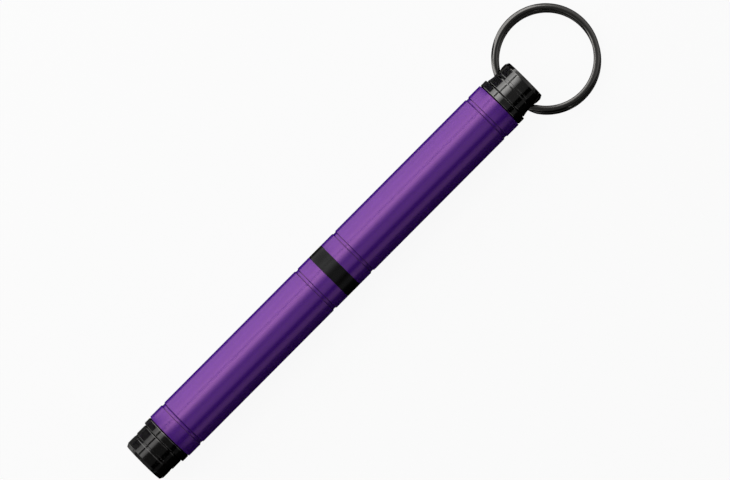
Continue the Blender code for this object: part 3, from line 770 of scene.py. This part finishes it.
class Finish:
    """A material and its Principled shader."""

    def __init__(self, name, values):
        self.material = bpy.data.materials.new(name)
        self.material.use_nodes = True
        self.tree = self.material.node_tree
        self.shader = self.tree.nodes["Principled BSDF"]
        self.place = self.node("ShaderNodeTexCoord", output="Object")
        self.give(values)

    def feed(self, entry, value):
        if isinstance(value, Socket):
            self.tree.links.new(value.output, entry)
        else:
            entry.default_value = value

    def give(self, values):
        for name, value in values.items():
            self.feed(self.shader.inputs[name], value)

    def node(self, kind, settings=None, inputs=None, output=0):
        """A node of this kind, with its settings and then its inputs given."""
        made = self.tree.nodes.new(kind)
        for name, value in (settings or {}).items():
            setattr(made, name, value)
        for name, value in (inputs or {}).items():
            self.feed(made.inputs[name], value)
        return Socket(self, made.outputs[output])

    def noise(self, vector, size, detail=2.0):
        inputs = {"Vector": vector, "Scale": 1 / size, "Detail": detail}
        return self.node("ShaderNodeTexNoise", {}, inputs)

    def vector(self, x, y, z):
        return self.node("ShaderNodeCombineXYZ", {}, {"X": x, "Y": y, "Z": z})

    def split(self, vector):
        x = self.node("ShaderNodeSeparateXYZ", {}, {"Vector": vector})
        return x, x.other("Y"), x.other("Z")

    def mix(self, share, first, second):
        inputs = {0: share, 6: first, 7: second}
        return self.node("ShaderNodeMix", {"data_type": "RGBA"}, inputs, output=2)

    def mark(self, name):
        return self.node("ShaderNodeAttribute", {"attribute_name": name}, output="Fac")

    def turned_lines(self, pitch):
        """Lines that a lathe leaves round the pen: noise that changes fast along X and slowly across it."""
        x, y, z = self.split(self.place)
        slow = TURNED_LINE_STRETCH * pitch
        return self.noise(self.vector(x / pitch, y / slow, z / slow), 1.0)

    def drawn_lines(self, pitch):
        """Lines that a drawing die leaves along the pen: noise that changes fast round it, slowly along."""
        x, y, z = self.split(self.place)
        angle = y.maths("ARCTAN2", y, z - AXIS_Z)
        slow = DRAWN_LINE_STRETCH * pitch
        return self.noise(self.vector(x / slow, angle * (BODY_RADIUS / pitch), 0.0), 1.0)

    def bump(self, height, depth, strength):
        inputs = {"Strength": strength, "Distance": depth, "Height": height}
        self.give({"Normal": self.node("ShaderNodeBump", {}, inputs)})


def colour(red, green, blue):
    return (red, green, blue, 1.0)


def purple_anodised():
    """Dyed anodised aluminium: satin, with faint turning lines, a fine etched grain, paler edges, and painted
    shade on the faces that run across the pen, in its grooves and at its ends.
    """
    sheen = {"Metallic": 0.3, "IOR": 2.75, "Specular Tint": colour(0.95, 0.475, 0.16)}
    finish = Finish("purple_anodised", sheen)
    lines = finish.turned_lines(pitch=0.07 * MM)
    grain = finish.noise(finish.place, size=0.05 * MM, detail=3.0)
    cloud = finish.noise(finish.place, size=3.5 * MM)
    dye = finish.mix(cloud, colour(0.0945, 0.0040, 0.461), colour(0.1015, 0.0044, 0.495))
    # Painted shade: faces that run across the pen, in the grooves and at the ends, are darkened towards a
    # deep violet
    cut = finish.mix(GROOVE_SHADE * finish.mark("slope"), dye, colour(0.020, 0.004, 0.060))
    worn = finish.mix(EDGE_WEAR * finish.mark("edge"), cut, colour(0.42, 0.27, 0.55))
    finish.give({"Base Color": worn, "Roughness": 0.22 + 0.05 * grain + 0.02 * lines})
    finish.bump(lines + 0.6 * grain, depth=0.003 * MM, strength=0.06)
    return finish.material


def black_gloss_metal():
    """Black anodised plugs and nose: glossy, with fine turning lines and edges rubbed a little grey."""
    finish = Finish("black_gloss_metal", {"Metallic": 1.0, "Specular Tint": colour(0.4, 0.4, 0.4)})
    lines = finish.turned_lines(pitch=0.06 * MM)
    cloud = finish.noise(finish.place, size=1.5 * MM)
    black = finish.mix(cloud, colour(0.172, 0.170, 0.167), colour(0.198, 0.195, 0.191))
    worn = finish.mix(EDGE_WEAR * finish.mark("edge"), black, colour(0.62, 0.61, 0.59))
    finish.give({"Base Color": worn, "Roughness": 0.10 + 0.04 * lines})
    finish.bump(lines, depth=0.002 * MM, strength=0.2)
    return finish.material


def black_satin():
    """Moulded black band: satin, with a fine grain."""
    finish = Finish("black_satin", {"Specular IOR Level": 0.30})
    grain = finish.noise(finish.place, size=0.07 * MM, detail=3.0)
    cloud = finish.noise(finish.place, size=1.2 * MM)
    black = finish.mix(cloud, colour(0.0024, 0.0023, 0.0023), colour(0.0038, 0.0037, 0.0036))
    worn = finish.mix(EDGE_WEAR * finish.mark("edge"), black, colour(0.05, 0.05, 0.05))
    finish.give({"Base Color": worn, "Roughness": 0.24 + 0.08 * grain})
    finish.bump(grain, depth=0.004 * MM, strength=0.3)
    return finish.material


def black_rubber():
    """Seals: matt, with a dusty bloom."""
    finish = Finish("black_rubber", {"Specular IOR Level": 0.3})
    grain = finish.noise(finish.place, size=0.04 * MM, detail=3.0)
    bloom = finish.noise(finish.place, size=0.8 * MM)
    finish.give({"Base Color": finish.mix(bloom, colour(0.008, 0.008, 0.008), colour(0.018, 0.018, 0.018))})
    finish.give({"Roughness": 0.60 + 0.15 * grain})
    finish.bump(grain, depth=0.006 * MM, strength=0.4)
    return finish.material


def black_nickel():
    """Split ring: dark plated steel with lines along its wire, which go round the ring's own middle."""
    finish = Finish("black_nickel", {"Metallic": 1.0, "Specular Tint": colour(0.35, 0.35, 0.35)})
    reach = RING_LENGTHENING * RING_CENTRE_REACH
    middle = (
        HINGE[0] + reach * math.cos(RING_DROOP),
        HINGE[1] + RING_CENTRE_SIDE,
        HINGE[2] - reach * math.sin(RING_DROOP),
    )
    flat = finish.node(
        "ShaderNodeMapping", {"vector_type": "TEXTURE"},
        {"Vector": finish.place, "Location": middle, "Rotation": (0, RING_DROOP, 0)},
    )
    p, q, h = finish.split(flat)
    radius = p.maths("SQRT", p * p + q * q)
    angle = p.maths("ARCTAN2", q, p)
    along = finish.vector(radius / RING_LINE_PITCH, h / RING_LINE_PITCH, angle * RING_LINE_BEATS)
    lines = finish.noise(along, size=1.0)
    cloud = finish.noise(finish.place, size=1.0 * MM, detail=3.0)
    plate = finish.mix(cloud, colour(0.210, 0.204, 0.195), colour(0.250, 0.243, 0.233))
    finish.give({"Base Color": plate, "Roughness": 0.15 + 0.05 * lines})
    finish.bump(lines, depth=0.002 * MM, strength=0.02)
    return finish.material


def drawn_metal(name, deep, pale, roughness):
    """Drawn metal: lines along the pen and a cloudy tone."""
    finish = Finish(name, {"Metallic": 1.0})
    lines = finish.drawn_lines(pitch=0.05 * MM)
    cloud = finish.noise(finish.place, size=1.5 * MM)
    finish.give({"Base Color": finish.mix(cloud, deep, pale), "Roughness": roughness + 0.10 * lines})
    finish.bump(lines, depth=0.002 * MM, strength=0.25)
    return finish.material


def turned_steel():
    """Writing point: bright turned steel."""
    finish = Finish("steel", {"Metallic": 1.0})
    lines = finish.turned_lines(pitch=0.03 * MM)
    cloud = finish.noise(finish.place, size=0.6 * MM)
    finish.give({"Base Color": finish.mix(cloud, colour(0.52, 0.53, 0.54), colour(0.60, 0.61, 0.62))})
    finish.give({"Roughness": 0.18 + 0.10 * lines})
    finish.bump(lines, depth=0.002 * MM, strength=0.25)
    return finish.material


def lapped_carbide():
    """Writing ball: grey and finely lapped, so that it takes ink."""
    finish = Finish("carbide", {"Metallic": 1.0})
    grain = finish.noise(finish.place, size=0.02 * MM, detail=3.0)
    finish.give({"Base Color": finish.mix(grain, colour(0.30, 0.31, 0.33), colour(0.40, 0.41, 0.43))})
    finish.give({"Roughness": 0.12 + 0.10 * grain})
    finish.bump(grain, depth=0.001 * MM, strength=0.2)
    return finish.material


def natural_plastic():
    """Ink float: undyed moulded plastic."""
    finish = Finish("natural_plastic", {"Subsurface Weight": 0.2, "Subsurface Scale": 0.5 * MM})
    grain = finish.noise(finish.place, size=0.08 * MM)
    finish.give({"Base Color": finish.mix(grain, colour(0.68, 0.68, 0.66), colour(0.76, 0.76, 0.74))})
    finish.give({"Roughness": 0.38 + 0.10 * grain})
    finish.bump(grain, depth=0.003 * MM, strength=0.2)
    return finish.material


FINISHES = {
    "purple_anodised": purple_anodised(),
    "black_gloss_metal": black_gloss_metal(),
    "black_satin": black_satin(),
    "black_rubber": black_rubber(),
    "black_nickel": black_nickel(),
    "brass": drawn_metal(
        "brass", colour(0.56, 0.38, 0.14), colour(0.64, 0.45, 0.18), roughness=0.25
    ),
    "steel": turned_steel(),
    "spring_steel": drawn_metal(
        "spring_steel", colour(0.50, 0.51, 0.52), colour(0.60, 0.61, 0.62), roughness=0.28
    ),
    "carbide": lapped_carbide(),
    "natural_plastic": natural_plastic(),
}

# Studio: angles are measured from straight up, about the pen's axis, and grow towards +Y
LAMP_DISTANCE = 0.35
WATTS_PER_RADIANCE = math.pi
CEILING = 0.07
FLOOR_HALF = 4.0
FLOOR_WHITE = 0.92
FLOOR_GLOW = 0.93
KEY = math.radians(90)
FILL = math.radians(-90)
HEAD = math.radians(0)
LONG_LAMP = 0.80
SHORT_LAMP = 0.60

# Each lamp: name, azimuth, length, first and last angle, radiance, what it lights
LAMPS = (
    ("key_crown", KEY, LONG_LAMP, 8, 14, 0.30, "all"),
    ("key_top", KEY, LONG_LAMP, 14, 19, 0.65, "all"),
    ("key_upper", KEY, LONG_LAMP, 19, 25, 1.05, "all"),
    ("key_waist", KEY, LONG_LAMP, 25, 33, 1.48, "all"),
    ("key_middle", KEY, LONG_LAMP, 33, 39.4, 1.7, "all"),
    ("key_lower", KEY, LONG_LAMP, 44.6, 54, 1.5, "all"),
    ("key_foot", KEY, LONG_LAMP, 54, 63, 1.15, "all"),
    ("key_hem", KEY, LONG_LAMP, 63, 91, 1.03, "all"),
    ("ceiling", KEY, LONG_LAMP, -37, 8, 0.25, "gloss"),
    ("fill", FILL, LONG_LAMP, 58.5, 90, 0.175, "gloss"),
    ("head_glow", HEAD, SHORT_LAMP, 50, 92, 0.22, "gloss"),
    ("sky", KEY, LONG_LAMP, 0, 35, 0.15, "colour"),
)

# Cards and gauzes that only reflections see: pairs of angles, shares that a gauze covers, and places
BLACK_CARD = 0.004
GREY_CARD = 0.30
HIGH_CARD = (-58.5, -38)
BODY_TOP_GAUZE = (-7, 5.5)
TAIL_GAUZE = (16, 93)
TAIL_TOP_GAUZE = (-93, 16)
HEAD_TOP_GAUZE = (-93, 8)
TAIL_DIVIDER = (34.5, 42.5)
HEAD_DIVIDER = (35.5, 41.5)
GAUZE_OVERHANG = 25.0 * MM
GAUZE_DISTANCE = 25.0 * MM
BODY_TOP_GAUZE_SHARE = 0.45
TAIL_GAUZE_SHARE = 0.66
TAIL_TOP_GAUZE_SHARE = 0.92
HEAD_TOP_GAUZE_SHARE = 0.8
RING_GAUZE_LEFT = 14.0 * MM
RING_GAUZE_RIGHT = 25.0 * MM
RING_GAUZE_MIDDLE = 66.0 * MM
RING_GAUZE_END = 80.0 * MM
ARC_STEPS = 24
CARD_OFFSET = 14.0 * MM
BODY_CARD_HEIGHT = 9.6 * MM
PLUG_CARD_HEIGHT = 11.0 * MM
END_CARD_HEIGHT = 13.2 * MM
CARD_LIFT = 0.02 * MM
CARD_REACH = 0.30
NEAR_STRIP = 12.8 * MM
RING_CARD_START = 43.0 * MM
RING_CARD_REACH = 0.15


def photo_camera():
    """Camera straight above, turned so that the pen runs from lower left to upper right as in the photo."""
    data = bpy.data.cameras.new("camera")
    data.lens = LENS
    data.sensor_width = SENSOR
    right = np.array([math.cos(PICTURE_TURN), math.sin(PICTURE_TURN)])
    up = np.array([-right[1], right[0]])
    tail = np.array([span("tail_plug")[0] + TAIL_PIXEL_STATION, 0.0])
    from_middle = np.array([TAIL_PIXEL_ACROSS - PHOTO_WIDTH / 2, PHOTO_HEIGHT / 2 - TAIL_PIXEL_DOWN])
    centre = tail - (from_middle[0] * right + from_middle[1] * up) / PIXELS_PER_METRE
    camera = bpy.data.objects.new("camera", data)
    camera.location = (*centre, AXIS_Z + CAMERA_HEIGHT)
    camera.rotation_euler = (0, 0, PICTURE_TURN)
    bpy.context.scene.collection.objects.link(camera)
    bpy.context.scene.camera = camera


def softbox(name, azimuth, length, from_angle, to_angle, radiance, lights):
    """Long lamp that faces the pen, at this azimuth from +X and between two angles from straight up.

    It lights all there is, or only gives gloss its reflection or colour its light.
    """
    middle = math.radians((from_angle + to_angle) / 2)
    half = math.radians((to_angle - from_angle) / 2)
    data = bpy.data.lights.new(name, "AREA")
    data.shape = "RECTANGLE"
    data.size = length
    data.size_y = 2 * LAMP_DISTANCE * math.tan(half)
    data.energy = radiance * WATTS_PER_RADIANCE * data.size * data.size_y
    lamp = bpy.data.objects.new(name, data)
    reach = LAMP_DISTANCE * math.sin(middle)
    height = AXIS_Z + LAMP_DISTANCE * math.cos(middle)
    lamp.location = (reach * math.cos(azimuth), reach * math.sin(azimuth), height)
    lamp.rotation_euler = (-middle, 0, azimuth - KEY)
    lamp.visible_camera = False
    lamp.visible_glossy = lights != "colour"
    lamp.visible_diffuse = lights != "gloss"
    bpy.context.scene.collection.objects.link(lamp)


def stage_sheet(name, material, place):
    """Open sheet of the stage, from a grid of places."""
    rows, columns = place.shape[:2]
    index = np.arange(rows * columns).reshape(rows, columns)
    corners = [index[:-1, :-1], index[1:, :-1], index[1:, 1:], index[:-1, 1:]]
    faces = np.stack(corners, axis=2).reshape(-1, 4)
    mesh = bpy.data.meshes.new(name)
    mesh.from_pydata(place.reshape(-1, 3).tolist(), [], faces.tolist())
    mesh.materials.append(material)
    sheet = bpy.data.objects.new(name, mesh)
    bpy.context.scene.collection.objects.link(sheet)
    return sheet


def strip(name, material, rear, front, y, z):
    """Sheet that runs along the pen: a line of (y, z) carried from one x to another."""
    y, z = np.broadcast_arrays(np.array(y, float)[:, None], np.array(z, float)[:, None])
    x = np.broadcast_to(np.array([rear, front]), (len(y), 2))
    return stage_sheet(name, material, np.stack([x, y + 0 * x, z + 0 * x], axis=2))


def matt(name, grey):
    """Plain grey without any gloss, for the stage alone."""
    plain = {"Base Color": colour(grey, grey, grey), "Roughness": 1.0, "Specular IOR Level": 0.0}
    return Finish(name, plain)


def floor_material():
    """White floor that keeps the shadow: part diffuse, part plain white to the eye and in reflections."""
    finish = matt("white_floor", FLOOR_WHITE)
    seen = finish.node("ShaderNodeLightPath", output="Is Camera Ray")
    shown = seen.maths("MAXIMUM", seen, seen.other("Is Glossy Ray"))
    shown = seen.maths("MAXIMUM", shown, seen.other("Is Transmission Ray"))
    glow = finish.node("ShaderNodeEmission", {}, {"Color": colour(1, 1, 1), "Strength": 1.0})
    lit = Socket(finish, finish.shader.outputs[0])
    mixed = finish.node("ShaderNodeMixShader", {}, {0: shown * FLOOR_GLOW, 1: lit, 2: glow})
    output = finish.tree.nodes["Material Output"]
    finish.feed(output.inputs["Surface"], mixed)
    return finish.material


def card_material(name, grey, cover):
    """Card of a plain grey that covers this share of what is behind it."""
    finish = matt(name, grey)
    finish.give({"Alpha": cover})
    return finish.material


def reflected_only(card, shades):
    """Only reflections see the card: no camera shows it, and it shades nothing unless asked to."""
    card.visible_camera = False
    card.visible_diffuse = False
    card.visible_transmission = False
    card.visible_shadow = shades


def trough(name, material, rear, front, reach, height):
    """Card on the floor beside the pen, from under it out to the reach, with an upright at its far side."""
    ground = AXIS_Z - BODY_RADIUS - FIT_GAP + CARD_LIFT
    line = [0, reach, reach], [ground, ground, ground + height]
    reflected_only(strip(name, material, rear, front, *line), False)


def arc(name, material, rear, front, angles, distance, shades):
    """Card bent round the pen's axis between two angles."""
    angle = np.radians(np.linspace(*angles, ARC_STEPS))
    y, z = distance * np.sin(angle), AXIS_Z + distance * np.cos(angle)
    reflected_only(strip(name, material, rear, front, y, z), shades)


def set_stage():
    """Floor, lamps, the cards and gauzes that only reflections see, and the world's dim ceiling."""
    ground = AXIS_Z - BODY_RADIUS - FIT_GAP
    floor_edges = [-FLOOR_HALF, FLOOR_HALF]
    strip("floor", floor_material(), *floor_edges, floor_edges, [ground, ground])
    for lamp in LAMPS:
        softbox(*lamp)
    black = card_material("black_card", BLACK_CARD, 1.0)
    grey = card_material("grey_card", GREY_CARD, 1.0)
    body_top_gauze = card_material("body_top_gauze", BLACK_CARD, BODY_TOP_GAUZE_SHARE)
    tail_gauze = card_material("tail_gauze", BLACK_CARD, TAIL_GAUZE_SHARE)
    tail_top_gauze = card_material("tail_top_gauze", BLACK_CARD, TAIL_TOP_GAUZE_SHARE)
    head_top_gauze = card_material("head_top_gauze", BLACK_CARD, HEAD_TOP_GAUZE_SHARE)
    tail_end, head_end = span("tail_plug")[0], span("head_plug")[1]
    tail_joint, head_joint = span("barrel_tube")[0], span("cap_tube")[1]
    trough("body_card_right", black, tail_joint, head_joint, -CARD_OFFSET, BODY_CARD_HEIGHT)
    trough("tail_plug_card_right", black, tail_end, tail_joint, -CARD_OFFSET, PLUG_CARD_HEIGHT)
    trough("head_plug_card_right", black, head_joint, RING_CARD_START, -CARD_OFFSET, PLUG_CARD_HEIGHT)
    trough("left_card", black, tail_joint, head_joint, NEAR_STRIP, CARD_LIFT)
    trough("tail_card", grey, tail_end, tail_joint, CARD_OFFSET, END_CARD_HEIGHT)
    trough("band_card", body_top_gauze, *span("centre_band"), CARD_OFFSET, END_CARD_HEIGHT)
    trough("head_card", grey, head_joint, head_end, CARD_OFFSET, END_CARD_HEIGHT)
    trough("ring_card_left", black, RING_CARD_START, RING_CARD_REACH, RING_CARD_REACH, CARD_LIFT)
    trough("ring_card_right", black, RING_CARD_START, RING_CARD_REACH, -RING_CARD_REACH, CARD_LIFT)
    trough("tail_card_right", black, -RING_CARD_REACH, tail_end, -RING_CARD_REACH, CARD_LIFT)
    trough("tail_card_left", body_top_gauze, -RING_CARD_REACH, tail_end, RING_CARD_REACH, CARD_LIFT)
    arc("high_card", black, -CARD_REACH, CARD_REACH, HIGH_CARD, LAMP_DISTANCE, True)
    arc("body_top_gauze", body_top_gauze, tail_joint, head_joint, BODY_TOP_GAUZE, GAUZE_DISTANCE, False)
    beyond_tail = tail_end - GAUZE_OVERHANG
    arc("tail_gauze", tail_gauze, beyond_tail, tail_joint, TAIL_GAUZE, GAUZE_DISTANCE, False)
    arc("tail_top_gauze", tail_top_gauze, beyond_tail, tail_joint, TAIL_TOP_GAUZE, GAUZE_DISTANCE, False)
    arc("head_top_gauze", head_top_gauze, head_joint, head_end, HEAD_TOP_GAUZE, GAUZE_DISTANCE, False)
    arc("tail_divider", black, beyond_tail, tail_joint, TAIL_DIVIDER, GAUZE_DISTANCE, False)
    arc("head_divider", black, head_joint, head_end, HEAD_DIVIDER, GAUZE_DISTANCE, False)
    above = AXIS_Z + GAUZE_DISTANCE
    across = [RING_GAUZE_LEFT, -RING_GAUZE_RIGHT, -RING_GAUZE_RIGHT]
    heights = [above, above, ground]
    for name, material, rear, front in (
        ("ring_gauze", head_top_gauze, head_end, RING_GAUZE_MIDDLE),
        ("far_gauze", body_top_gauze, RING_GAUZE_MIDDLE, RING_GAUZE_END),
    ):
        reflected_only(strip(name, material, rear, front, across, heights), False)
    world = bpy.data.worlds.new("studio")
    world.use_nodes = True
    background = world.node_tree.nodes["Background"]
    background.inputs["Color"].default_value = colour(CEILING, CEILING, CEILING)
    bpy.context.scene.world = world
    bpy.context.scene.view_settings.view_transform = "Standard"


make_barrel()
make_cap()
make_band()
make_head()
make_tail()
make_seal("cap_o_ring", "cap_seal", CAP_SEAL_SECTION, "pen")
make_seal("tail_o_ring", "tail_seal", TAIL_SEAL_SECTION, "tail")
make_insert()
make_nose()
make_refill()
make_spring()
make_ring()
set_stage()
photo_camera()
